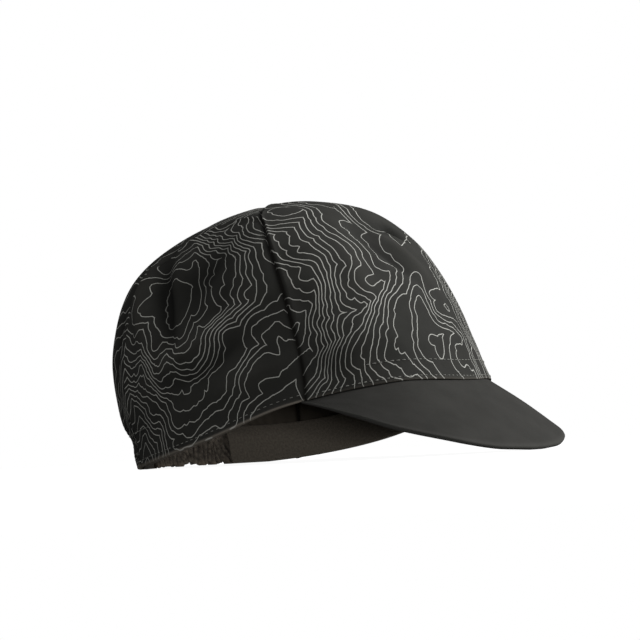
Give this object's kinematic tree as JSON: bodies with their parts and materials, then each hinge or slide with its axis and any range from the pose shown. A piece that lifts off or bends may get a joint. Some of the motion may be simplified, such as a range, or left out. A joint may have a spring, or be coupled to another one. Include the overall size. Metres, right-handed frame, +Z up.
{
  "type": "cycling cap",
  "caption": "Soft cloth cycling cap with a short down-turned peak, a panelled crown, an inner sweatband and an elastic gathered back hem.",
  "frame": {"origin": "middle of the cap's outline seen from above, on the surface that the back of the hem and the rim of the peak stand on", "axes": "+Z up, +Y from the peak towards the back of the cap, so the peak points along -Y, and +X towards the wearer's left"},
  "size_m": [0.1696, 0.2362, 0.1298],
  "materials": {
    "printed_cloth": "matt woven cloth with thin grey contour lines",
    "peak_cloth": "matt dark grey woven cloth",
    "band_cloth": "matt soft brownish black cloth"
  },
  "bodies": {
    "root": {"front_panel": "printed_cloth", "side_panel_right": "printed_cloth", "side_panel_left": "printed_cloth", "back_panel": "printed_cloth", "peak": "peak_cloth", "sweatband": "band_cloth", "elastic_casing": "band_cloth"}
  },
  "joints": []
}
